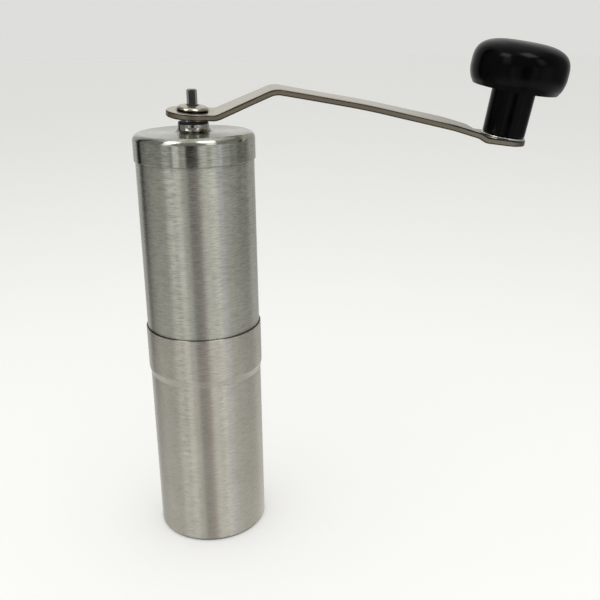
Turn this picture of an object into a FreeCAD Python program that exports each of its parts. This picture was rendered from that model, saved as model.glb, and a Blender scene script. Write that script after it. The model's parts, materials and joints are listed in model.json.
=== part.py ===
import FreeCAD, Part
import math
import os

# Hand crank coffee grinder: a slim steel tube with a conical ceramic burr set, a catch cup
# pushed onto its lower end, and a lift-off crank on the five-sided end of the drive shaft.
# Millimetres. +Z is up along the drive shaft, the origin is the centre of the cup's base,
# and the crank points along +X.

V = FreeCAD.Vector

# Driving dimensions
body_r = 23.5            # outside of the tube and of the cup below its neck
sheet = 0.5              # steel sheet of the tube, the cup and the lid
slip = 0.1               # radial slip fit of the cup's neck and the lid on the tube
run_gap = 0.06           # radial running clearance of the shaft in its bushes
shaft_r = 3.0

cup_neck_z = 73.8        # where the cup starts to widen into its neck
cup_step = 2.9           # height of that conical step
cup_rim_z = 94.55
tube_z = 76.6            # lower end of the tube, on the cup's inner step
tube_top_z = 171.5
lid_skirt_z = 163.5
lid_top_z = 173.9
lid_neck_z = 177.0
lid_neck_r = 6.15
shoulder_z = 177.8       # shoulder of the shaft, where its five-sided end starts
shaft_top_z = 190.1
shaft_end_z = 65.5

crank_seat_z = 178.57    # underside of the crank's socket, at its centre, before it leans
crank_lean = 4.64        # sideways lean, in degrees, that the loose socket lets the crank take
crank_droop = 4.38       # and how far it lets the crank droop towards the knob
arm_thick = 2.45
knob_lean = 4.12         # outward lean of the knob's axis from the hub pad's, in degrees
pad_x = 128.05           # where the knob's pin stands on the end pad
pad_drop = 3.7           # how far the end pad lies below the hub pad, at the pin

# Sizes that follow
sleeve_in_r = body_r + slip
sleeve_out_r = sleeve_in_r + sheet
tube_in_r = body_r - sheet
bore_r = shaft_r + run_gap


# Tools for outlines

def corner_arc(before, corner, after, radius):
    """Tangent points and middle of the arc that rounds one corner of an outline."""
    to_before = (before - corner).normalize()
    to_after = (after - corner).normalize()
    half = to_before.getAngle(to_after) / 2
    reach = radius / math.tan(half)
    inward = (to_before + to_after).normalize()
    middle = corner + inward * (radius / math.sin(half) - radius)
    return corner + to_before * reach, middle, corner + to_after * reach


def rounded_path(points):
    """Edges through (x, z) or (x, z, corner radius) points in the XZ plane, and its two ends."""
    corners = [V(p[0], 0, p[1]) for p in points]
    edges = []
    start = corners[0]
    for i in range(1, len(points)):
        stop = corners[i]
        radius = points[i][2] if len(points[i]) > 2 else 0
        if radius and i + 1 < len(points):
            enter, middle, leave = corner_arc(corners[i - 1], corners[i], corners[i + 1], radius)
            edges.append(Part.LineSegment(start, enter).toShape())
            edges.append(Part.Arc(enter, middle, leave).toShape())
            start = leave
        else:
            edges.append(Part.LineSegment(start, stop).toShape())
            start = stop
    return edges


def flat_face(points):
    """Face in the XZ plane inside a closed outline, which starts and ends at its first point."""
    return Part.Face(Part.Wire(rounded_path(points + [points[0][:2]])))


def turned(points):
    """Solid of revolution about Z from an outline of (radius, z) points."""
    return flat_face(points).revolve(V(0, 0, 0), V(0, 0, 1), 360)


def ring(outer_r, inner_r, z_low, z_high, edge=0.0):
    """Plain ring, with rounded outer edges where edge is given."""
    return turned([(inner_r, z_low), (outer_r, z_low, edge), (outer_r, z_high, edge), (inner_r, z_high)])


def polygon_prism(sides, corner_r, z_low, z_high, first_angle):
    """Upright prism on a regular polygon."""
    corners = []
    for i in range(sides + 1):
        angle = math.radians(first_angle + 360.0 / sides * i)
        corners.append(V(corner_r * math.cos(angle), corner_r * math.sin(angle), z_low))
    return Part.Face(Part.makePolygon(corners)).extrude(V(0, 0, z_high - z_low))


def turned_copies(shape, count, first_angle=0.0):
    """Copies of a shape, evenly spaced about Z."""
    copies = []
    for i in range(count):
        copy = shape.copy()
        copy.rotate(V(0, 0, 0), V(0, 0, 1), first_angle + 360.0 / count * i)
        copies.append(copy)
    return copies


def flat_sided_bar(radius, flat, z_low, z_high):
    """Round bar with two flats, which keys the burr to the shaft."""
    bar = Part.makeCylinder(radius, z_high - z_low, V(0, 0, z_low))
    block = Part.makeBox(2 * flat, 2 * radius, z_high - z_low, V(-flat, -radius, z_low))
    return bar.common(block)


def tooth_wire(z, tip_r, root_r, teeth, turn):
    """Closed saw-tooth outline at one height, turned by an angle in degrees."""
    step = 360.0 / teeth
    corners = []
    for i in range(teeth):
        for radius, share in ((root_r, 0.0), (tip_r, 0.7)):
            angle = math.radians(turn + step * (i + share))
            corners.append(V(radius * math.cos(angle), radius * math.sin(angle), z))
    return Part.makePolygon(corners + [corners[0]])


def fluted_cone(z_low, z_high, low_r, high_r, depth, teeth, twist):
    """Cone with slanting saw teeth: low_r and high_r are the tooth tips, depth is the root's."""
    levels = 3
    wires = []
    for i in range(levels):
        share = i / (levels - 1)
        tip_r = low_r + (high_r - low_r) * share
        wires.append(tooth_wire(z_low + (z_high - z_low) * share, tip_r, tip_r - depth, teeth, twist * share))
    return Part.makeLoft(wires, True, True)


# Catch cup

def grounds_cup():
    foot_round = 1.2
    step_round = 2.0
    rim_round = 0.2
    neck_z = cup_neck_z + cup_step
    return turned([
        (0, 0), (body_r, 0, foot_round),
        (body_r, cup_neck_z, step_round), (sleeve_out_r, neck_z, step_round),
        (sleeve_out_r, cup_rim_z, rim_round), (sleeve_in_r, cup_rim_z, rim_round),
        (sleeve_in_r, neck_z, step_round), (tube_in_r, cup_neck_z, step_round),
        (tube_in_r, sheet, foot_round - sheet), (0, sheet)])


# Tube with the hopper inside it

def upper_tube():
    return ring(body_r, tube_in_r, tube_z, tube_top_z, 0.15)


spider_z = 158.0
spider_high = 6.0
hub_r = 6.2
bush_r = 4.3
bush_flange_r = 5.6
bush_flange = 1.0
spoke_wide = 2.6
spokes = 3


def spoke(z_low, z_high, reach):
    """One spoke along +X, from inside the hub wall out to a ring."""
    inner = bush_r + 0.6
    return Part.makeBox(reach - inner, spoke_wide, z_high - z_low, V(inner, -spoke_wide / 2, z_low))


def hopper_spider():
    rim_r = tube_in_r - 0.02
    rim_wall = 1.6
    top = spider_z + spider_high
    rim = ring(rim_r, rim_r - rim_wall, spider_z, top, 0.3)
    hub = ring(hub_r, bush_r, spider_z, top, 0.4)
    arms = turned_copies(spoke(spider_z + 1, top - 0.8, rim_r - rim_wall / 2), spokes, 30)
    return rim.fuse([hub] + arms).removeSplitter()


def flanged_bush(z_low, z_high):
    """Plain shaft bush: a sleeve with a flange on its top end."""
    flange_z = z_high - bush_flange
    return turned([
        (bore_r, z_low), (bush_r, z_low), (bush_r, flange_z), (bush_flange_r, flange_z),
        (bush_flange_r, z_high, 0.3), (bore_r, z_high)])


def spider_bush():
    return flanged_bush(spider_z - 0.5, spider_z + spider_high + bush_flange)


# Burr housing, pressed into the lower end of the tube

housing_z = 77.4
housing_top_z = 104.5
burr_seat_z = 79.5       # underside of the outer burr
burr_top_z = 95.0
burr_r = 19.0
throat_r = 13.0
hub_low_z = 98.8
hub_high_z = 109.3


def burr_housing():
    shell_r = tube_in_r - 0.02
    seat_r = burr_r + 0.05
    shell = turned([
        (shell_r, housing_z), (shell_r, housing_top_z), (shell_r - 0.9, housing_top_z),
        (throat_r, burr_top_z + 2.2), (throat_r, burr_top_z), (seat_r, burr_top_z),
        (seat_r, burr_seat_z), (seat_r + 1.6, burr_seat_z), (seat_r + 1.6, housing_z)])
    hub = ring(hub_r, bush_r, hub_low_z, hub_high_z, 0.4)
    arms = turned_copies(spoke(hub_low_z, housing_top_z - 0.8, shell_r - 1.2), spokes, 30)
    return shell.fuse([hub] + arms).removeSplitter()


def housing_bush():
    return flanged_bush(hub_low_z, hub_high_z + bush_flange)


def burr_retaining_ring():
    band = ring(burr_r + 1.6, burr_r - 2.2, housing_z + 0.1, burr_seat_z, 0.2)
    notch = Part.makeBox(4, 3, 3, V(burr_r - 0.4, -1.5, housing_z - 1))
    return band.cut(turned_copies(notch, 3))


def outer_burr():
    blank = ring(burr_r, 5.0, burr_seat_z, burr_top_z, 0.4)
    grind_z = 85.0
    grinding = fluted_cone(burr_seat_z - 0.5, grind_z, 16.35, 13.9, 0.7, 36, 12)
    breaking = fluted_cone(grind_z, burr_top_z + 0.5, 13.9, 12.6, 1.8, 9, 40)
    return blank.cut([grinding, breaking])


# Drive shaft and what is on it

key_flat = 2.4           # half width across the two flats
key_top_z = 97.0
thread_top_z = 77.5
thread_pitch = 0.8
clip_z = 111.05          # underside of the retaining clip
clip_thick = 0.7
washer_thick = 0.7
tip_corner_r = 2.2       # corners of the five-sided end
tip_sides = 5
tip_angle = -126.0       # puts one flat of the five-sided end square to -Y


def drive_shaft():
    thread_deep = 0.35
    groove_r = 2.5
    outline = [(0, shaft_end_z), (shaft_r - 0.7, shaft_end_z), (shaft_r, shaft_end_z + 0.7)]
    z = shaft_end_z + 0.7
    while z + thread_pitch < thread_top_z:
        outline.append((shaft_r - thread_deep, z + thread_pitch / 2))
        outline.append((shaft_r, z + thread_pitch))
        z += thread_pitch
    outline += [
        (shaft_r, clip_z), (groove_r, clip_z), (groove_r, clip_z + clip_thick + 0.05),
        (shaft_r, clip_z + clip_thick + 0.05), (shaft_r, shoulder_z, 0.2), (0, shoulder_z)]
    round_part = turned(outline)
    keyed = flat_sided_bar(shaft_r + 1, key_flat, shaft_end_z - 1, key_top_z)
    above = Part.makeCylinder(shaft_r + 1, shoulder_z - key_top_z + 1, V(0, 0, key_top_z))
    round_part = round_part.common(keyed.fuse(above))
    prism = polygon_prism(tip_sides, tip_corner_r, shoulder_z - 0.1, shaft_top_z, tip_angle)
    rounding = turned([(0, shoulder_z - 1), (tip_corner_r - 0.05, shoulder_z - 1),
                       (tip_corner_r - 0.05, shaft_top_z, 1.1), (0, shaft_top_z)])
    return round_part.fuse(prism.common(rounding)).removeSplitter()


def shaft_clip():
    clip = ring(5.0, 2.52, clip_z + 0.02, clip_z + clip_thick, 0.0)
    mouth = Part.makeBox(6, 3.6, 3, V(0.8, -1.8, clip_z - 1))
    lobes = turned_copies(Part.makeCylinder(0.8, 3, V(3.9, 0, clip_z - 1)), 2, 120)
    return clip.cut([mouth] + lobes)


def thrust_washer():
    return ring(bush_flange_r, bore_r + 0.05, clip_z - washer_thick, clip_z, 0.1)


spring_low_z = 92.3
spring_top_z = 98.0
wire_r = 0.45
spring_r = 4.8


def burr_spring():
    """Compression spring with its ends ground flat."""
    turns = 4.5
    low = spring_low_z
    high = spring_top_z
    pitch = (high - low) / turns
    helix = Part.makeHelix(pitch, high - low, spring_r)
    helix.translate(V(0, 0, low))
    section = Part.Wire(Part.makeCircle(wire_r, V(spring_r, 0, low), V(0, 1, 0)))
    coil = Part.Wire(helix.Edges).makePipeShell([section], True, True)
    return coil.common(Part.makeCylinder(spring_r + 2, high - low, V(0, 0, low)))


def spring_washer():
    return ring(hub_r, bore_r + 0.05, spring_top_z, spring_top_z + washer_thick, 0.1)


# Inner burr on its carrier, which slides on the flats of the shaft

cone_z = 79.0
cone_top_z = 92.0
sleeve_r = 5.5
carrier_z = 76.2
carrier_r = 12.8


def inner_burr():
    grind_z = 84.0
    grinding = fluted_cone(cone_z, grind_z, 15.0, 12.6, 0.7, 36, -12)
    breaking = fluted_cone(grind_z, cone_top_z, 12.6, 8.8, 1.8, 6, -55)
    bore = Part.makeCylinder(sleeve_r, 20, V(0, 0, cone_z - 2))
    return grinding.fuse(breaking).cut(bore)


def burr_carrier():
    """Moulded carrier: a sleeve through the burr on a flange with click notches below."""
    body = turned([
        (0, carrier_z), (carrier_r, carrier_z, 0.4), (carrier_r, cone_z, 0.3), (sleeve_r, cone_z),
        (sleeve_r, spring_low_z), (0, spring_low_z)])
    key_way = flat_sided_bar(shaft_r + 0.08, key_flat + 0.08, carrier_z - 1, spring_low_z + 1)
    clicks = 12
    notch = Part.makeCylinder(0.9, 4, V(carrier_r - 3.6, 0, carrier_z - 0.5), V(1, 0, 0))
    return body.cut([key_way] + turned_copies(notch, clicks))


nut_z = 69.0
nut_top_z = 75.9
nut_r = 12.6
insert_r = 4.6


def adjusting_nut():
    """Finger nut with a scalloped rim."""
    body = turned([
        (insert_r, nut_z), (7.5, nut_z, 0.4), (7.5, nut_z + 2.2, 0.4), (nut_r, nut_z + 2.2, 0.8),
        (nut_r, nut_top_z, 0.5), (insert_r, nut_top_z)])
    lobes = 12
    scallop = Part.makeCylinder(2.2, 8, V(nut_r + 1.3, 0, nut_z + 1))
    return body.cut(turned_copies(scallop, lobes, 15))


def nut_insert():
    return ring(insert_r, bore_r, nut_z - 0.3, nut_top_z, 0.2)


# Lid

lid_bush_r = 5.65
lid_bush_top_z = 177.9


def lid():
    top_round = 2.65
    neck_round = 2.2
    flare = 0.1
    under_z = lid_top_z - sheet
    return turned([
        (sleeve_in_r, lid_skirt_z), (sleeve_out_r, lid_skirt_z, 0.15), (sleeve_out_r, lid_top_z, top_round),
        (lid_neck_r + flare, lid_top_z, neck_round), (lid_neck_r, lid_neck_z, 0.2),
        (lid_bush_r, lid_neck_z), (lid_bush_r + flare, under_z, neck_round - sheet),
        (sleeve_in_r, under_z, top_round - sheet)])


def lid_bush():
    return turned([
        (bore_r, 171.2), (lid_bush_r - 0.05, 171.2, 0.3), (lid_bush_r - 0.05, lid_neck_z),
        (lid_neck_r - 0.25, lid_neck_z), (lid_neck_r - 0.25, lid_bush_top_z, 0.4), (bore_r, lid_bush_top_z)])


def lid_bush_ring():
    ring_z = 172.05
    band = ring(9.0, lid_bush_r - 0.05, ring_z, ring_z + 0.8, 0.1)
    slot = Part.makeBox(1.6, 1.4, 2, V(lid_bush_r - 0.5, -0.7, ring_z - 0.6))
    return band.cut(turned_copies(slot, 6))


# Crank. It is drawn level, with the underside of its socket at z = 0, and then put on the shaft.

collar_high = 0.95
collar_r = 5.7
socket_play = 0.62       # how much larger the corners of the socket are than the shaft's
shank_r = 4.2
dome_foot_r = 5.7        # the head narrows in below its widest line, down to the arm
dome_r = 6.25
dome_wide = 0.8          # height of that line above the arm
dome_high = 2.05
arm_top = collar_high + arm_thick
hub_pad_r = 10.3
end_pad_r = 10.0
end_pad_x = pad_x - 0.7
pin_r = 3.0


def on_shaft(shape):
    """Puts a crank piece on the shaft, where it leans and droops in its loose socket."""
    placed = shape.copy()
    placed.rotate(V(0, 0, arm_top), V(0, 1, 0), crank_droop)
    placed.rotate(V(0, 0, arm_top), V(1, 0, 0), crank_lean)
    placed.translate(V(0, 0, crank_seat_z))
    return placed


def on_pad(shape):
    """Puts a piece that is drawn on the Z axis onto the end pad, and then onto the shaft."""
    placed = shape.copy()
    placed.rotate(V(0, 0, 0), V(0, 1, 0), knob_lean)
    placed.translate(V(pad_x, 0, arm_top - pad_drop))
    return on_shaft(placed)


def parallel_path(points, distance):
    """The same path moved square to itself, below it, with bends that stay concentric."""
    moved = []
    last = len(points) - 1
    for i, point in enumerate(points):
        here = V(point[0], 0, point[1])
        into = here - V(points[max(i - 1, 0)][0], 0, points[max(i - 1, 0)][1])
        out = V(points[min(i + 1, last)][0], 0, points[min(i + 1, last)][1]) - here
        into = out if i == 0 else into
        out = into if i == last else out
        into.normalize()
        out.normalize()
        normal = (V(into.z, 0, -into.x) + V(out.z, 0, -out.x)).normalize()
        spread = normal.dot(V(into.z, 0, -into.x))
        moved_point = here + normal * (distance / spread)
        turn = into.x * out.z - into.z * out.x
        if len(point) > 2:
            moved.append((moved_point.x, moved_point.z, point[2] + math.copysign(distance, turn)))
        else:
            moved.append((moved_point.x, moved_point.z))
    return moved


def end_pad_z(x):
    """Height of the end pad's sloping top above the hub pad's."""
    return (pad_x - x) * math.tan(math.radians(knob_lean)) - pad_drop


def crank_side():
    """Side view of the arm: its top surface, and the same path one thickness below."""
    outer = 14.0
    foot_x = 118.2
    profile = [
        (-outer, 0), (8.7, 0, 5.6), (31.0, 11.1, 10.0), (68.5, 6.93, 300.0), (104.0, 1.25, 60.0),
        (115.1, -1.35, 7.0), (foot_x, end_pad_z(foot_x), 4.0), (pad_x + outer, end_pad_z(pad_x + outer))]
    upper = [(point[0], arm_top + point[1]) + point[2:] for point in profile]
    lower = parallel_path(upper, arm_thick)
    edges = rounded_path(upper)
    edges += rounded_path(lower)
    for end in (0, -1):
        edges.append(Part.LineSegment(V(upper[end][0], 0, upper[end][1]),
                                      V(lower[end][0], 0, lower[end][1])).toShape())
    return Part.Face(Part.Wire(Part.__sortEdges__(edges)))


def upright_edges(shape, x_low, x_high):
    """Straight upright edges that stand between two X positions."""
    found = []
    for edge in shape.Edges:
        upright = edge.Curve.TypeId == "Part::GeomLine" and abs(edge.tangentAt(0).z) > 0.99
        if upright and x_low < edge.BoundBox.XMin < x_high:
            found.append(edge)
    return found


def crank_plan():
    """Plan view of the arm: a waisted bar between its round pads, the smaller waist near the hub."""
    low = -40
    tall = 80
    waist = 6.55
    side = [(0, 9.35), (26, waist, 370), (55.75, waist, 300), (110.0, end_pad_r, 100), (end_pad_x, end_pad_r)]
    other = [(point[0], -point[1]) + point[2:] for point in side]
    tip = Part.Arc(V(end_pad_x, 0, end_pad_r), V(end_pad_x + end_pad_r, 0, 0), V(end_pad_x, 0, -end_pad_r))
    start = Part.LineSegment(V(0, 0, -side[0][1]), V(0, 0, side[0][1]))
    edges = rounded_path(side) + rounded_path(other) + [tip.toShape(), start.toShape()]
    bar = Part.Face(Part.Wire(Part.__sortEdges__(edges)))
    bar.rotate(V(0, 0, 0), V(1, 0, 0), -90)
    bar.translate(V(0, 0, low))
    hub = Part.makeCylinder(hub_pad_r, tall, V(0, 0, low))
    plan = bar.extrude(V(0, 0, tall)).fuse(hub).removeSplitter()
    return plan.makeFillet(6, upright_edges(plan, 0, hub_pad_r))


def on_rim(edge):
    """True for an edge that follows the arm's outline, rather than crossing or standing on it."""
    tangent = edge.tangentAt(edge.FirstParameter)
    straight = edge.Curve.TypeId == "Part::GeomLine"
    return not (straight and (abs(tangent.y) > 0.9 or abs(tangent.z) > 0.9))


def crank_arm():
    edge_round = 0.6
    slab = crank_side().extrude(V(0, 40, 0))
    slab.translate(V(0, -20, 0))
    arm = slab.common(crank_plan())
    arm = arm.makeFillet(edge_round, [edge for edge in arm.Edges if on_rim(edge)])
    shank = Part.makeCylinder(shank_r, 20, V(0, 0, -5))
    pin_hole = Part.makeCylinder(pin_r - 0.4, 20, V(0, 0, -10))
    pin_hole.rotate(V(0, 0, 0), V(0, 1, 0), knob_lean)
    pin_hole.translate(V(pad_x, 0, arm_top - pad_drop))
    return on_shaft(arm.cut([shank, pin_hole]))


def crank_socket():
    """Swaged socket: a collar below the arm, a shank through it and a domed head above."""
    mouth_r = 3.1
    wide_z = arm_top + dome_wide
    head_top = arm_top + dome_high
    outline = rounded_path([
        (0, 0), (collar_r, 0, 0.3), (collar_r, collar_high), (shank_r, collar_high), (shank_r, arm_top),
        (dome_foot_r, arm_top)])
    crown = V(4.6, 0, arm_top + 1.75)
    below = V(6.13, 0, arm_top + 0.35)
    above = V(5.75, 0, arm_top + 1.45)
    outline.append(Part.Arc(V(dome_foot_r, 0, arm_top), below, V(dome_r, 0, wide_z)).toShape())
    outline.append(Part.Arc(V(dome_r, 0, wide_z), above, crown).toShape())
    outline += rounded_path([(crown.x, crown.z), (mouth_r, head_top), (0, head_top), (0, 0)])
    body = Part.Face(Part.Wire(outline)).revolve(V(0, 0, 0), V(0, 0, 1), 360)
    hole = polygon_prism(tip_sides, tip_corner_r + socket_play, -1, head_top + 1, tip_angle)
    return on_shaft(body.cut(hole))


# Knob and its pin, drawn on the Z axis with the arm's end pad at z = 0

washer_high = 0.65
neck_z = 0.75            # underside of the knob's neck
neck_low_r = 8.7
neck_high_r = 8.85
head_z = 20.15           # underside of the head
head_wide_z = 26.3
head_top_z = 37.85
head_r = 19.45
head_edge_r = 17.8
pin_top_z = 33.0
snap_z = 28.0
snap_high = 0.8


def knob_outline():
    """Points up the side of the head: a taper that bulges out, then a soft square shoulder."""
    points = []
    taper_points = 5
    for i in range(taper_points):
        down = 1 - i / taper_points
        points.append(V(head_r - (head_r - head_edge_r) * down ** 2, 0,
                        head_wide_z - (head_wide_z - head_z) * down))
    shoulder_points = 12
    squareness = 2 / 3.3
    for i in range(shoulder_points + 1):
        angle = math.pi / 2 * i / shoulder_points
        points.append(V(head_r * max(math.cos(angle), 0) ** squareness, 0,
                        head_wide_z + (head_top_z - head_wide_z) * math.sin(angle) ** squareness))
    return points


def knob():
    """One moulding: a head on a neck, with a bore for the pin and a groove for its ring."""
    side = knob_outline()
    curve = Part.BSplineCurve()
    curve.interpolate(side)
    outline = rounded_path([
        (0, neck_z), (neck_low_r, neck_z, 0.7), (neck_high_r, head_z, 0.8), (side[0].x, side[0].z)])
    outline.append(curve.toShape())
    outline.append(Part.LineSegment(side[-1], V(0, 0, neck_z)).toShape())
    body = Part.Face(Part.Wire(outline)).revolve(V(0, 0, 0), V(0, 0, 1), 360)
    bore = Part.makeCylinder(pin_r + run_gap, pin_top_z + 0.4 - neck_z + 1, V(0, 0, neck_z - 1))
    groove = Part.makeCylinder(pin_r + 1.3, snap_high + 0.4, V(0, 0, snap_z - 0.2))
    return on_pad(body.cut([bore, groove]))


def knob_pin():
    """Pin riveted into the arm, with a shoulder on the pad and a groove near its top."""
    foot_r = pin_r - 0.4
    head_low = -arm_thick - 1.0
    return on_pad(turned([
        (0, head_low), (4.2, head_low, 0.7), (4.2, -arm_thick), (foot_r, -arm_thick), (foot_r, 0),
        (pin_r, 0), (pin_r, snap_z), (pin_r - 0.5, snap_z), (pin_r - 0.5, snap_z + snap_high),
        (pin_r, snap_z + snap_high), (pin_r, pin_top_z, 0.5), (0, pin_top_z)]))


def knob_washer():
    return on_pad(ring(9.05, pin_r, 0, washer_high, 0.25))


def knob_snap_ring():
    band = ring(pin_r + 0.9, pin_r - 0.45, snap_z + 0.05, snap_z + snap_high - 0.05, 0.0)
    gap = Part.makeBox(6, 1.6, 2, V(1, -0.8, snap_z - 0.5))
    return on_pad(band.cut(gap))


nodes = (
    grounds_cup, upper_tube, hopper_spider, spider_bush, burr_housing, housing_bush,
    burr_retaining_ring, outer_burr, drive_shaft, shaft_clip, thrust_washer, burr_spring,
    spring_washer, inner_burr, burr_carrier, adjusting_nut, nut_insert, lid, lid_bush,
    lid_bush_ring, crank_arm, crank_socket, knob_pin, knob_washer, knob, knob_snap_ring)

os.makedirs("parts", exist_ok=True)
for node in nodes:
    shape = node()
    name = node.__name__
    shape.exportStep("parts/" + name + ".step")
    print(name, len(shape.Solids), shape.isValid(), round(shape.Volume, 2))
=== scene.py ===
import json
import math

import bmesh
import bpy
from mathutils import Matrix, Vector


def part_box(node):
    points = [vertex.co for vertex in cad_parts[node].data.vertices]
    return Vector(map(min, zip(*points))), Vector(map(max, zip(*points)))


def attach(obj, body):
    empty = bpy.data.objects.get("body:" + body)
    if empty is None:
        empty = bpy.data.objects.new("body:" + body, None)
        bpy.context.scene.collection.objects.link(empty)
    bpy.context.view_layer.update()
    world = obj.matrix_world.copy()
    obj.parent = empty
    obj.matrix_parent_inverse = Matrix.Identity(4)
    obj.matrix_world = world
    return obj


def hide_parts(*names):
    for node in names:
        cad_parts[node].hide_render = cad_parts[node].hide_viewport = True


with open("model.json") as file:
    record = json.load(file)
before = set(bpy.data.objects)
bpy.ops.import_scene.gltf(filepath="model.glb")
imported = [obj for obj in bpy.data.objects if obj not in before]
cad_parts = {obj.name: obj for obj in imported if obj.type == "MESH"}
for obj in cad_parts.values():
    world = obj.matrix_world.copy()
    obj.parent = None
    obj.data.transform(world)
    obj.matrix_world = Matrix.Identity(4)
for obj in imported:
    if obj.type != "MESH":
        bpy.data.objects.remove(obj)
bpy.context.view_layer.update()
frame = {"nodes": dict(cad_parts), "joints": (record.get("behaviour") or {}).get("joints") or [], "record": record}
nodes = frame["nodes"]

MM = 0.001
scene = bpy.context.scene
scene.view_settings.view_transform = "Standard"


# ---------------------------------------------------------------- outlines and meshes

def rounded(points, steps=10):
    """Outline through (x, z) or (x, z, corner radius) points, with each rounded corner as a short arc."""
    out = []
    for i, point in enumerate(points):
        here = Vector(point[:2])
        radius = point[2] if len(point) > 2 else 0
        if not radius:
            out.append(here)
            continue
        back = (Vector(points[i - 1][:2]) - here).normalized()
        ahead = (Vector(points[(i + 1) % len(points)][:2]) - here).normalized()
        half = back.angle(ahead) / 2
        inward = (back + ahead).normalized()
        centre = here + inward * (radius / math.sin(half))
        first = here + back * (radius / math.tan(half)) - centre
        last = here + ahead * (radius / math.tan(half)) - centre
        sweep = first.angle_signed(last)
        for k in range(steps + 1):
            turn = -sweep * k / steps
            out.append(centre + Vector((first.x * math.cos(turn) - first.y * math.sin(turn),
                                        first.x * math.sin(turn) + first.y * math.cos(turn))))
    return out


def mesh_piece(name, verts, faces, sharp=35):
    """Object from vertices and faces, shaded smooth except across edges sharper than the angle."""
    mesh = bpy.data.meshes.new(name)
    mesh.from_pydata(verts, [], faces)
    tidy = bmesh.new()
    tidy.from_mesh(mesh)
    bmesh.ops.remove_doubles(tidy, verts=tidy.verts, dist=1e-7)
    bmesh.ops.recalc_face_normals(tidy, faces=tidy.faces)
    tidy.to_mesh(mesh)
    tidy.free()
    mesh.shade_smooth()
    mesh.set_sharp_from_angle(angle=math.radians(sharp))
    piece = bpy.data.objects.new(name, mesh)
    scene.collection.objects.link(piece)
    even_normals(piece)
    return piece


def even_normals(piece):
    """Lets the large faces set the normals, so that only the rounded edges turn."""
    weighted = piece.modifiers.new("even_normals", "WEIGHTED_NORMAL")
    weighted.keep_sharp = True


def lathe(name, outline, around=192, place=None, sharp=35):
    """Surface of revolution about Z of a closed outline in millimetres, moved by place."""
    place = place or Matrix.Identity(4)
    verts = []
    faces = []
    count = len(outline)
    for k in range(around):
        angle = 2 * math.pi * k / around
        for x, z in outline:
            verts.append(place @ Vector((x * math.cos(angle) * MM, x * math.sin(angle) * MM, z * MM)))
    for k in range(around):
        this, other = k * count, (k + 1) % around * count
        for i in range(count):
            j = (i + 1) % count
            if outline[i][0] < 1e-6 and outline[j][0] < 1e-6:
                continue
            if outline[i][0] < 1e-6:
                faces.append((this + i, other + j, this + j))
            elif outline[j][0] < 1e-6:
                faces.append((this + i, other + i, this + j))
            else:
                faces.append((this + i, other + i, other + j, this + j))
    return mesh_piece(name, verts, faces, sharp)


# ---------------------------------------------------------------- materials

class Shader:
    """A Principled material with short names for adding and joining its nodes."""

    def __init__(self, name, colour, metallic, roughness, **settings):
        self.material = bpy.data.materials.new(name)
        self.material.use_nodes = True
        self.tree = self.material.node_tree
        self.bsdf = self.tree.nodes["Principled BSDF"]
        self.set(self.bsdf, {"Base Color": (*colour, 1), "Metallic": metallic, "Roughness": roughness})
        self.set(self.bsdf, settings)

    def set(self, node, values):
        for key, value in values.items():
            node.inputs[key].default_value = value

    def add(self, kind, values=None, **options):
        node = self.tree.nodes.new(kind)
        for key, value in options.items():
            setattr(node, key, value)
        self.set(node, values or {})
        return node

    def join(self, source, target, output=0):
        """Links a node's output to an input given as (node, socket)."""
        self.tree.links.new(source.outputs[output], target[0].inputs[target[1]])

    def place(self, scale):
        """Object coordinates, scaled per metre."""
        coords = self.add("ShaderNodeTexCoord")
        mapping = self.add("ShaderNodeMapping", {"Scale": scale})
        self.join(coords, (mapping, "Vector"), "Object")
        return mapping

    def noise(self, scale, detail=2.0, rough=0.5):
        """Noise stretched by a scale for each axis."""
        texture = self.add("ShaderNodeTexNoise", {"Scale": 1.0, "Detail": detail, "Roughness": rough})
        self.join(self.place(scale), (texture, "Vector"))
        return texture

    def spread(self, source, low, high, from_low=0.3, from_high=0.7, output=0):
        """A value's range, by default the middle of a noise, spread over a new range."""
        ranged = self.add("ShaderNodeMapRange", {
            "From Min": from_low, "From Max": from_high, "To Min": low, "To Max": high})
        self.join(source, (ranged, "Value"), output)
        return ranged

    def blend(self, factor, first, second):
        """Colour between two colours, by a factor node."""
        mix = self.add("ShaderNodeMix", data_type="RGBA")
        mix.inputs["A"].default_value = (*first, 1)
        mix.inputs["B"].default_value = (*second, 1)
        self.tree.links.new(factor.outputs[0], mix.inputs["Factor"])
        return mix

    def cover(self, mix, factor, colour):
        """A colour laid over another one, by a factor node."""
        over = self.add("ShaderNodeMix", data_type="RGBA")
        over.inputs["B"].default_value = (*colour, 1)
        self.tree.links.new(mix.outputs["Result"], over.inputs["A"])
        self.join(factor, (over, "Factor"))
        return over

    def total(self, first, second, share):
        """first plus second times a share."""
        node = self.add("ShaderNodeMath", {1: share}, operation="MULTIPLY_ADD")
        self.join(second, (node, 0))
        self.join(first, (node, 2))
        return node

    def product(self, first, second):
        """first times second."""
        node = self.add("ShaderNodeMath", operation="MULTIPLY")
        self.join(first, (node, 0))
        self.join(second, (node, 1))
        return node

    def paint_crevice_shade(self, mix):
        """Paints shade into a colour along seams and inside corners, over a millimetre or two, where ambient
        occlusion finds them.
        """
        reach = 1.8 * MM
        open_sky = self.add("ShaderNodeAmbientOcclusion", {"Distance": reach}, samples=8)
        # Painted shade: seams and inside corners are covered with near-black by how shut in they are.
        depth = self.spread(open_sky, 0.95, 0.0, 0.45, 0.92, output="AO")
        return self.cover(mix, depth, (0.02, 0.019, 0.017))

    def colour(self, mix):
        self.tree.links.new(mix.outputs["Result"], self.bsdf.inputs["Base Color"])

    def roughness(self, source):
        self.join(source, (self.bsdf, "Roughness"))

    def bump(self, source, depth, strength=1.0):
        bump = self.add("ShaderNodeBump", {"Strength": strength, "Distance": depth * MM})
        self.join(source, (bump, "Height"))
        self.join(bump, (self.bsdf, "Normal"))


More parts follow.
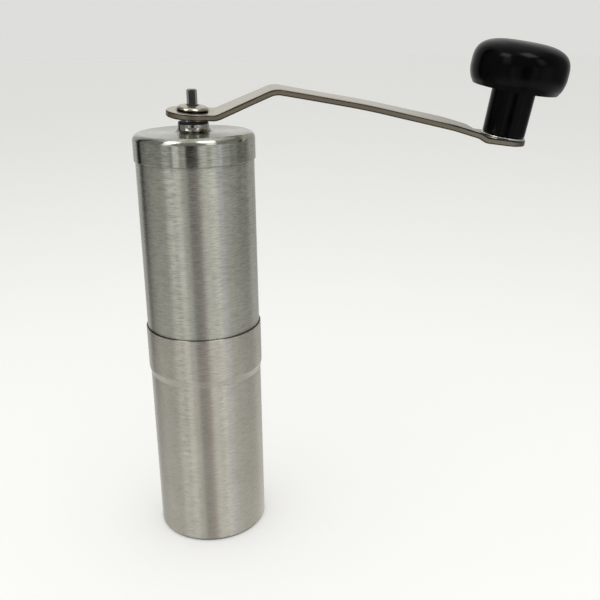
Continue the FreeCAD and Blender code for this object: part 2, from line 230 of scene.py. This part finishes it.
def brushed_steel(name, blur_low, blur_high, relief, warm=1.0):
    """Stainless sheet with fine brushing that runs around the body, which draws reflections out upward; its seams
    get painted shade, and warm tints it as a painted reflection.
    """
    s = Shader(name, (0.52, 0.515, 0.45), 1.0, 0.3, Anisotropic=1.0)
    s.bsdf.inputs["Anisotropic Rotation"].default_value = 0.25
    tangent = s.add("ShaderNodeTangent", direction_type="RADIAL", axis="Z")
    s.join(tangent, (s.bsdf, "Tangent"))
    fine = s.noise((300, 300, 7000), 2, 0.6)
    dashes = s.noise((260, 260, 2200), 3, 0.65)
    patches = s.noise((60, 60, 50), 3, 0.55)
    grain = s.total(fine, dashes, 1.0)
    tone = s.total(grain, patches, 0.3)
    # Painted reflection: warm above 1 tints the steel towards the warm table it reflects, below 1 towards the
    # room.
    reflection_tint = (warm * warm, warm, warm)
    dark = [a * b for a, b in zip((0.39, 0.385, 0.335), reflection_tint)]
    bright = [a * b for a, b in zip((0.66, 0.655, 0.585), reflection_tint)]
    s.colour(s.paint_crevice_shade(s.blend(s.spread(tone, 0, 1, 0.88, 1.42), dark, bright)))
    s.roughness(s.spread(grain, blur_low, blur_high, 0.7, 1.3))
    s.bump(grain, relief)
    return s.material


def polished_steel():
    """The lid's drawn neck, polished by hand, with a few fine scratches."""
    s = Shader("polished_steel", (0.44, 0.435, 0.41), 1.0, 0.12)
    scratches = s.noise((300, 300, 5200), 3, 0.6)
    s.colour(s.blend(s.spread(scratches, 0, 1), (0.38, 0.375, 0.35), (0.50, 0.495, 0.47)))
    s.roughness(s.spread(scratches, 0.05, 0.12))
    s.bump(scratches, 0.002)
    return s.material


def nickel_plate(name, edge, blur):
    """Warm nickel plating with a faint ripple, hairline scratches and pits, and painted shade on the stamped
    sides, along their rounded edges and in seams.

    edge is how much rougher and pitted the stamped sides are and how strong the painted shade on them and their
    edges is, and blur the least roughness.
    """
    s = Shader(name, (0.60, 0.56, 0.48), 1.0, 0.10)
    ripple = s.noise((150, 150, 150), 2, 0.5)
    hairlines = s.noise((60, 2500, 2500), 2, 0.6)
    dull = s.noise((90, 90, 90), 4, 0.6)
    pits = s.noise((1500, 1500, 1500), 2, 0.6)
    coords = s.add("ShaderNodeTexCoord")
    split = s.add("ShaderNodeSeparateXYZ")
    s.join(coords, (split, "Vector"), "Normal")
    upright = s.add("ShaderNodeMath", operation="ABSOLUTE")
    s.join(split, (upright, 0), "Z")
    # side is 1 on the upright stamped sides; it raises their roughness, a real dullness, and paints shade on their
    # colour.
    side = s.spread(upright, edge, 0.0, 0.25, 0.65)
    face = s.blend(s.spread(dull, 0, 1), (0.52, 0.48, 0.39), (0.61, 0.57, 0.48))
    # Painted shade: the upright sides are painted darker brown than the top.
    shaded_sides = s.cover(face, side, (0.30, 0.265, 0.21))
    # Painted shade: a near-black line painted along the rounded edges, between the top and the sides.
    above = s.spread(upright, 0.0, 1.0, 0.06, 0.18)
    below = s.spread(upright, 0.95 * edge, 0.0, 0.62, 0.78)
    painted_edge_shade = s.cover(shaded_sides, s.product(above, below), (0.025, 0.020, 0.016))
    s.colour(s.paint_crevice_shade(painted_edge_shade))
    smooth = s.spread(s.total(dull, hairlines, 0.6), blur, blur + 0.10, 0.55, 1.1)
    s.roughness(s.total(smooth, side, 0.16))
    relief = s.total(s.total(ripple, hairlines, 0.04), pits, 0.03)
    s.bump(s.total(relief, s.product(side, pits), 0.25), 0.02)
    return s.material


def machined_steel(name, tone, blur_low, blur_high):
    """Turned steel of the shaft, pins and washers, with faint tool rings."""
    s = Shader(name, (0.55, 0.55, 0.54), 1.0, 0.28)
    rings = s.noise((90, 90, 5000), 2, 0.5)
    stain = s.noise((300, 300, 300), 3, 0.6)
    dark = [tone * v for v in (0.46, 0.46, 0.45)]
    bright = [tone * v for v in (0.60, 0.60, 0.58)]
    s.colour(s.blend(s.spread(stain, 0, 1), dark, bright))
    s.roughness(s.spread(rings, blur_low, blur_high))
    s.bump(rings, 0.004)
    return s.material


def knob_plastic():
    """Near-black satin moulding with a very fine skin and a few handling marks."""
    s = Shader("knob_plastic", (0.001, 0.001, 0.0015), 0.0, 0.20, IOR=1.25)
    s.set(s.bsdf, {"Specular IOR Level": 0.28})
    skin = s.noise((2600, 2600, 2600), 2, 0.5)
    handling = s.noise((110, 110, 110), 4, 0.6)
    s.colour(s.blend(s.spread(handling, 0, 1), (0.0006, 0.0006, 0.0009), (0.002, 0.002, 0.0026)))
    s.roughness(s.spread(s.total(handling, skin, 0.3), 0.16, 0.23, 0.5, 0.9))
    s.bump(skin, 0.004)
    return s.material


def black_moulding():
    """Dark glass-filled plastic of the inner mouldings, with a spark-eroded skin."""
    s = Shader("black_moulding", (0.014, 0.014, 0.014), 0.0, 0.5)
    s.set(s.bsdf, {"Specular IOR Level": 0.2})
    skin = s.noise((1800, 1800, 1800), 3, 0.6)
    flow = s.noise((120, 120, 120), 3, 0.5)
    s.colour(s.blend(s.spread(flow, 0, 1), (0.009, 0.009, 0.010), (0.020, 0.020, 0.020)))
    s.roughness(s.spread(skin, 0.42, 0.62))
    s.bump(skin, 0.02)
    return s.material


def acetal():
    """Natural bush plastic."""
    s = Shader("acetal", (0.72, 0.71, 0.66), 0.0, 0.4)
    grain = s.noise((900, 900, 900), 3, 0.6)
    s.colour(s.blend(s.spread(grain, 0, 1), (0.66, 0.65, 0.60), (0.76, 0.75, 0.70)))
    s.roughness(s.spread(grain, 0.34, 0.50))
    s.bump(grain, 0.01)
    return s.material


def burr_ceramic():
    """Unglazed white ceramic with a fine grit and coffee-stained specks."""
    s = Shader("burr_ceramic", (0.80, 0.78, 0.73), 0.0, 0.45)
    grit = s.noise((1500, 1500, 1500), 4, 0.65)
    stain = s.noise((260, 260, 260), 4, 0.7)
    s.colour(s.blend(s.spread(stain, 0, 1, 0.35, 0.6), (0.62, 0.56, 0.48), (0.82, 0.80, 0.75)))
    s.roughness(s.spread(grit, 0.35, 0.60))
    s.bump(grit, 0.02)
    return s.material


def turned_brass():
    """Brass of the nut's insert, with faint tool rings and some tarnish."""
    s = Shader("turned_brass", (0.72, 0.52, 0.22), 1.0, 0.25)
    rings = s.noise((90, 90, 5000), 2, 0.5)
    tarnish = s.noise((300, 300, 300), 3, 0.6)
    s.colour(s.blend(s.spread(tarnish, 0, 1), (0.60, 0.42, 0.17), (0.78, 0.58, 0.27)))
    s.roughness(s.spread(rings, 0.18, 0.34))
    s.bump(rings, 0.004)
    return s.material


finishes = {
    "body_steel": brushed_steel("brushed_steel", 0.24, 0.34, 0.010),
    "crank_plating": nickel_plate("nickel_plate", 1.0, 0.17),
    "shaft_steel": machined_steel("machined_steel", 1.0, 0.18, 0.36),
    "black_moulding": black_moulding(),
    "knob_plastic": knob_plastic(),
    "bush_plastic": acetal(),
    "burr_ceramic": burr_ceramic(),
    "insert_brass": turned_brass()}
slot_of = {part["node"]: part["material_slot"] for part in frame["record"]["subparts"]}


def finish_cad_nodes():
    """Gives every CAD node the material of its slot, and the crank arm its rounded stamped edges."""
    for name, node in nodes.items():
        node.data.materials.clear()
        node.data.materials.append(finishes[slot_of[name]])
        node.data.shade_smooth()
        node.data.set_sharp_from_angle(angle=math.radians(32))
        even_normals(node)
    rounding = nodes["crank_arm"].modifiers.new("stamped_edges", "BEVEL")
    rounding.width = 0.9 * MM
    rounding.segments = 4
    rounding.angle_limit = math.radians(40)
    rounding.harden_normals = True
    nodes["crank_socket"].data.materials[0] = nickel_plate("nickel_socket", 0.0, 0.12)
    nodes["drive_shaft"].data.materials[0] = machined_steel("bright_shaft", 0.6, 0.08, 0.20)


finish_cad_nodes()


# ---------------------------------------------------------------- turned pieces

def low(node):
    """Height of a node's underside, in millimetres."""
    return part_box(node)[0][2] / MM


def high(node):
    """Height of a node's top, in millimetres."""
    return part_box(node)[1][2] / MM


def radius(node):
    """Outside radius of an upright round node, in millimetres."""
    return (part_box(node)[1][1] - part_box(node)[0][1]) / 2 / MM


def stand_in(piece, node, body, finish=None):
    """Puts a piece in the place of a CAD node."""
    piece.data.materials.append(finish or finishes[slot_of[node]])
    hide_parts(node)
    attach(piece, body)


SHEET = 0.5  # thickness of the drawn steel, in millimetres
body_r = radius("upper_tube")
sleeve_r = radius("lid")
inside_r = sleeve_r - SHEET
tube_inside_r = body_r - SHEET


def cup():
    """Drawn cup with a rounded foot, and a conical step up into the neck that sleeves the tube."""
    step_z, neck_z = 73.8, 76.7
    rim_z = high("grounds_cup")
    outline = rounded([
        (0, 0), (body_r, 0, 1.2), (body_r, step_z, 2.0), (sleeve_r, neck_z, 2.0), (sleeve_r, rim_z, 0.2),
        (inside_r, rim_z, 0.2), (inside_r, neck_z, 2.0), (tube_inside_r, step_z, 2.0),
        (tube_inside_r, SHEET, 0.7), (0, SHEET)])
    # Painted reflection: the cup's steel is tinted warmer, for the table it reflects.
    finish = brushed_steel("brushed_cup", 0.24, 0.34, 0.010, 1.04)
    stand_in(lathe("cup_shell", outline, 256), "grounds_cup", "cup", finish)


def tube():
    """Straight tube, with a small radius on both rims."""
    low_z, high_z = low("upper_tube"), high("upper_tube")
    edge = 0.15
    outline = rounded([(tube_inside_r, low_z), (body_r, low_z, edge), (body_r, high_z, edge),
                       (tube_inside_r, high_z)], 5)
    stand_in(lathe("tube_shell", outline, 256), "upper_tube", "body")


def lid():
    """Drawn lid: a brushed skirt and top, with a polished neck that flares into the top."""
    skirt_z, rim_z = low("lid"), high("lid")
    top_z = rim_z - 3.1
    under_z = top_z - SHEET
    neck_r, mouth_r, flare = 6.15, 5.65, 0.1
    polished_r = 8.5
    outline = rounded([
        (inside_r, skirt_z), (sleeve_r, skirt_z, 0.15), (sleeve_r, top_z, 2.65),
        (neck_r + flare, top_z, 2.2), (neck_r, rim_z, 0.2), (mouth_r, rim_z),
        (mouth_r + flare, under_z, 1.7), (inside_r, under_z, 2.15)], 16)
    piece = lathe("lid_shell", outline, 256)
    # Painted reflection: the lid's steel is tinted a little cooler, for the room it reflects.
    stand_in(piece, "lid", "lid", brushed_steel("brushed_lid", 0.12, 0.19, 0.003, 0.98))
    piece.data.materials.append(polished_steel())
    for face in piece.data.polygons:
        middle = face.center / MM
        if middle.z > top_z + 0.02 and middle.xy.length < polished_r:
            face.material_index = 1


def bush():
    """Flanged bush in the lid's neck."""
    low_z, rim_z, high_z = low("lid_bush"), high("lid"), high("lid_bush")
    bore_r, inner_r, flange_r = 3.06, 5.6, radius("lid_bush")
    outline = rounded([
        (bore_r, low_z), (inner_r, low_z, 0.3), (inner_r, rim_z), (flange_r, rim_z),
        (flange_r, high_z, 0.4), (bore_r, high_z, 0.1)], 8)
    stand_in(lathe("bush_turned", outline, 128), "lid_bush", "lid")


def pad_frame():
    """Frame on the arm's end pad, with Z along the knob's pin."""
    spin = next(joint for joint in frame["joints"] if joint["name"] == "knob_spin")
    upward = Vector(spin["axis"]).normalized()
    side = Vector((0, 1, 0)).cross(upward).normalized()
    turn = Matrix((side, upward.cross(side), upward)).transposed().to_4x4()
    return Matrix.Translation(spin["pos_m"]) @ turn


def knob():
    """Mushroom knob: a long neck below a head with a bulging side and a soft square shoulder."""
    bore_r, bore_z, groove_r = 3.06, 33.4, 4.3
    neck_z, under_z, wide_z, top_z = 0.75, 20.15, 26.3, 37.85
    foot_r, neck_r, under_r, wide_r = 8.7, 8.85, 17.8, 19.45
    square = 2 / 3.3
    groove_low_z, groove_high_z = 27.8, 29.0
    outline = rounded([
        (bore_r, neck_z), (foot_r, neck_z, 0.7), (neck_r, under_z, 0.8), (under_r, under_z, 0.5)])
    steps = 12
    for i in range(2, steps):
        down = 1 - i / steps
        outline.append(Vector((wide_r - (wide_r - under_r) * down ** 2, wide_z - (wide_z - under_z) * down)))
    steps = 64
    for i in range(steps + 1):
        angle = math.pi / 2 * i / steps
        outline.append(Vector((wide_r * max(math.cos(angle), 0) ** square if i < steps else 0,
                               wide_z + (top_z - wide_z) * math.sin(angle) ** square)))
    outline += [Vector(point) for point in (
        (0, bore_z), (bore_r, bore_z), (bore_r, groove_high_z), (groove_r, groove_high_z),
        (groove_r, groove_low_z), (bore_r, groove_low_z))]
    stand_in(lathe("knob_moulding", outline, 192, pad_frame()), "knob", "knob")


def washer():
    """Bright washer between the end pad and the knob's neck."""
    hole_r, outer_r, thick, edge = 3.0, 9.05, 0.65, 0.25
    outline = rounded([(hole_r, 0), (outer_r, 0, edge), (outer_r, thick, edge), (hole_r, thick)], 6)
    piece = lathe("knob_washer_turned", outline, 128, pad_frame())
    stand_in(piece, "knob_washer", "crank", machined_steel("bright_washer", 1.4, 0.05, 0.14))


cup()
tube()
lid()
bush()
knob()
washer()


# ---------------------------------------------------------------- floor, light and camera

def world_light():
    """Soft room: even light for matt surfaces, and for reflections a few soft upright panels."""
    world = bpy.data.worlds.new("studio")
    scene.world = world
    world.use_nodes = True
    tree = world.node_tree
    tree.nodes.clear()

    def math_node(operation, *inputs):
        """Output of a math node fed with numbers and other outputs."""
        node = tree.nodes.new("ShaderNodeMath")
        node.operation = operation
        for i, value in enumerate(inputs):
            if isinstance(value, (int, float)):
                node.inputs[i].default_value = value
            else:
                tree.links.new(value, node.inputs[i])
        return node.outputs[0]

    coords = tree.nodes.new("ShaderNodeTexCoord")
    split = tree.nodes.new("ShaderNodeSeparateXYZ")
    tree.links.new(coords.outputs["Generated"], split.inputs[0])
    x, y, z = split.outputs
    to_degrees = 180 / math.pi
    azimuth = math_node("MULTIPLY", math_node("ARCTAN2", x, math_node("MULTIPLY", y, -1)), to_degrees)
    height = math_node("MULTIPLY", math_node("ARCSINE", z), to_degrees)

    def soft_panel(value, middle, half, soft):
        """1 within half of the middle, fading to 0 over soft."""
        away = math_node("ABSOLUTE", math_node("SUBTRACT", value, middle))
        ranged = tree.nodes.new("ShaderNodeMapRange")
        ranged.interpolation_type = "SMOOTHSTEP"
        ranged.inputs["From Min"].default_value = half - soft / 2
        ranged.inputs["From Max"].default_value = half + soft / 2
        ranged.inputs["To Min"].default_value = 1
        ranged.inputs["To Max"].default_value = 0
        tree.links.new(away, ranged.inputs["Value"])
        return ranged.outputs[0]

    def shade(amount, factor, target):
        """Moves an amount towards a target by a factor."""
        return math_node("ADD", math_node("MULTIPLY", amount, math_node("SUBTRACT", 1, factor)),
                         math_node("MULTIPLY", factor, target))

    plain_wall = 0.29
    pale_floor, floor_cover = 1.28, 0.68
    floor_below, below_cover = 0.42, 0.8
    dim_front = 0.26
    window_gain = 1.3
    ceiling = 0.70
    panels = (
        # azimuth, half width, softness, gain
        (-57, 7, 6, 0.14), (-36, 6, 5, 0.52), (-23, 6, 6, 0.16), (-10, 8, 5, -0.28), (1, 3, 3, -0.20),
        (14, 7, 6, 0.22), (32, 22, 8, 0.18), (36, 6, 6, 0.22), (47, 4, 3, 0.28), (60, 7, 6, 0.14),
        (98, 14, 8, -0.10), (-118, 14, 8, -0.08), (-127, 9, 10, -0.20), (180, 60, 8, 0.16),
        (-180, 48, 8, 0.20), (180, 20, 8, 0.26), (-180, 20, 8, 0.26))
    total = plain_wall
    for middle, half, soft, gain in panels:
        total = math_node("ADD", total, math_node("MULTIPLY", soft_panel(azimuth, middle, half, soft), gain))
    total = shade(total, math_node("MULTIPLY", soft_panel(height, -37, 13, 20), floor_cover), pale_floor)
    total = shade(total, math_node("MULTIPLY", soft_panel(height, -90, 40, 10), below_cover), floor_below)
    front_above = math_node("MULTIPLY", soft_panel(azimuth, 0, 90, 40), soft_panel(height, 50, 46, 10))
    total = shade(total, front_above, dim_front)
    windows = math_node("ADD", soft_panel(azimuth, -54, 9, 8), soft_panel(azimuth, 32, 9, 8))
    windows = math_node("MULTIPLY", windows, soft_panel(height, 26, 14, 14))
    total = math_node("ADD", total, math_node("MULTIPLY", windows, window_gain))
    total = shade(total, soft_panel(height, 90, 35, 20), ceiling)

    def background(colour, strength):
        """Background shader with a colour, and a strength given as a number or an output."""
        node = tree.nodes.new("ShaderNodeBackground")
        node.inputs["Color"].default_value = (*colour, 1)
        if isinstance(strength, (int, float)):
            node.inputs["Strength"].default_value = strength
        else:
            tree.links.new(strength, node.inputs["Strength"])
        return node.outputs[0]

    def tinted(factor, first, second):
        """Colour between two colours, the first given as a colour or an output."""
        node = tree.nodes.new("ShaderNodeMix")
        node.data_type = "RGBA"
        if isinstance(first, tuple):
            node.inputs["A"].default_value = (*first, 1)
        else:
            tree.links.new(first, node.inputs["A"])
        node.inputs["B"].default_value = (*second, 1)
        tree.links.new(factor, node.inputs["Factor"])
        return node.outputs["Result"]

    def choose(factor, first, second):
        """Shader between two shaders."""
        node = tree.nodes.new("ShaderNodeMixShader")
        tree.links.new(factor, node.inputs[0])
        tree.links.new(first, node.inputs[1])
        tree.links.new(second, node.inputs[2])
        return node.outputs[0]

    even = background((1.0, 1.0, 0.985), 0.78)
    wall = background((1.0, 1.0, 0.975), 0.73)
    room_colour, bluish, rosy = (1.0, 1.0, 0.97), (0.93, 0.95, 1.06), (1.05, 0.985, 0.97)
    room = background(room_colour, total)
    tint = tinted(soft_panel(azimuth, 47, 5, 4), room_colour, bluish)
    tint = tinted(soft_panel(azimuth, -2, 8, 8), tint, rosy)
    tree.links.new(tint, room.node.inputs["Color"])
    path = tree.nodes.new("ShaderNodeLightPath")
    shader = choose(path.outputs["Is Glossy Ray"], even, room)
    shader = choose(path.outputs["Is Camera Ray"], shader, wall)
    output = tree.nodes.new("ShaderNodeOutputWorld")
    tree.links.new(shader, output.inputs["Surface"])


def floor_piece(name, inner, outer, around=96):
    """Flat ring or disc of the floor, in metres."""
    verts, faces = [], []
    for k in range(around):
        angle = 2 * math.pi * k / around
        for rim in (inner, outer):
            verts.append((rim * math.cos(angle), rim * math.sin(angle), 0))
    for k in range(around):
        a, b = 2 * k, 2 * ((k + 1) % around)
        faces.append((a, a + 1, b + 1, b))
    if not inner:
        verts, faces = verts[1::2], [tuple(range(around))]
    mesh = bpy.data.meshes.new(name)
    mesh.from_pydata(verts, [], faces)
    piece = bpy.data.objects.new(name, mesh)
    scene.collection.objects.link(piece)
    return piece


def floor():
    """Pale floor with a painted pool of light, a little brighter around the object, which takes no part in the
    reflections.
    """
    s = Shader("floor", (0.9, 0.9, 0.885), 0.0, 0.7)
    s.set(s.bsdf, {"Specular IOR Level": 0.2})
    coords = s.add("ShaderNodeTexCoord")
    distance = s.add("ShaderNodeVectorMath", operation="LENGTH")
    s.join(coords, (distance, "Vector"), "Object")
    light_pool = s.add("ShaderNodeMapRange", {"From Min": 0.18, "From Max": 0.50}, interpolation_type="SMOOTHSTEP")
    s.join(distance, (light_pool, "Value"), "Value")
    # Painted light: the floor is painted brighter near the object and greyer farther out.
    s.colour(s.blend(light_pool, (0.97, 0.97, 0.955), (0.955, 0.955, 0.935)))
    near_r, far_r = 0.34, 6.0
    near = floor_piece("floor_near", 0, near_r)
    far = floor_piece("floor_far", near_r, far_r)
    for piece in (near, far):
        piece.data.materials.append(s.material)
        piece.visible_glossy = False


def soft_light(name, location, target, size, power):
    """Square lamp above. It leaves the shadows to the even light of the room."""
    data = bpy.data.lights.new(name, "AREA")
    data.size = size
    data.energy = power
    data.use_shadow = False
    lamp = bpy.data.objects.new(name, data)
    lamp.location = location
    lamp.rotation_euler = (Vector(target) - Vector(location)).to_track_quat("-Z", "Y").to_euler()
    scene.collection.objects.link(lamp)


def camera():
    """Camera in front of the object, above it and tipped down, with a slight roll."""
    distance, height = 0.3121, 0.2121
    yaw, pitch, roll = math.radians(7.555), math.radians(-19.386), math.radians(-0.590)
    forward = Vector((math.sin(yaw) * math.cos(pitch), math.cos(yaw) * math.cos(pitch), math.sin(pitch)))
    right = Vector((math.cos(yaw), -math.sin(yaw), 0))
    up = right.cross(forward)
    tilted_right = math.cos(roll) * right + math.sin(roll) * up
    tilted_up = -math.sin(roll) * right + math.cos(roll) * up
    data = bpy.data.cameras.new("camera")
    data.sensor_width = 36  # this and the lens in millimetres
    data.lens = 46.55
    data.clip_start = 0.01
    eye = bpy.data.objects.new("camera", data)
    axes = Matrix((tilted_right, tilted_up, -forward)).transposed().to_4x4()
    eye.matrix_world = Matrix.Translation((0, -distance, height)) @ axes
    scene.collection.objects.link(eye)
    scene.camera = eye


world_light()
floor()
lamp_target, lamp_size, lamp_power = (0.02, 0, 0.15), 0.36, 1.8
soft_light("lamp_left", (-0.52, -0.34, 0.95), lamp_target, lamp_size, lamp_power)
soft_light("lamp_right", (0.26, -0.39, 0.95), lamp_target, lamp_size, lamp_power)
camera()
